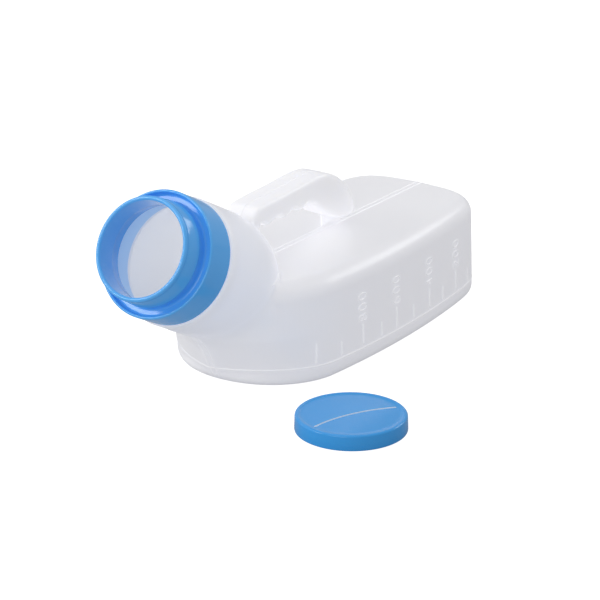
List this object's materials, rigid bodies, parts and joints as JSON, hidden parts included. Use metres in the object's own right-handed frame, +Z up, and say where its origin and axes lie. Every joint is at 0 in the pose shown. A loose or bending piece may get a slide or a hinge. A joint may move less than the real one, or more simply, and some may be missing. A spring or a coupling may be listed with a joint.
{
  "type": "hand-held urinal bottle",
  "caption": "Milky plastic urinal bottle lying on its flat base, with a raised neck, moulded grip handle, graduated side wall, blue press-on inlet ring and loose blue cap.",
  "frame": {"origin": "on the ground under the middle of the bottle's flat base", "axes": "+Z up; the neck and its inlet point forward along -Y and rise; +X is the graduated side wall; the loose cap lies on the ground at +X, -Y"},
  "size_m": [0.1842, 0.2936, 0.1226],
  "materials": {
    "milky_plastic": "milky translucent polypropylene, satin, faint parting line",
    "blue_ring_plastic": "mid-blue polyethylene, softly glossy",
    "blue_cap_plastic": "mid-blue polyethylene, softly glossy"
  },
  "bodies": {
    "bottle": {"bottle": "milky_plastic"},
    "inlet_ring": {"inlet_ring": "blue_ring_plastic"},
    "cap": {"cap": "blue_cap_plastic"}
  },
  "joints": [
    {"name": "ring_pull", "type": "slide", "parent": "bottle", "child": "inlet_ring", "axis": [0, -0.8829, 0.4695], "range_m": [0, 0.05]},
    {"name": "cap_lift", "type": "slide", "parent": "bottle", "child": "cap", "axis": [0, 0, 1], "range_m": [0, 0.15]}
  ]
}
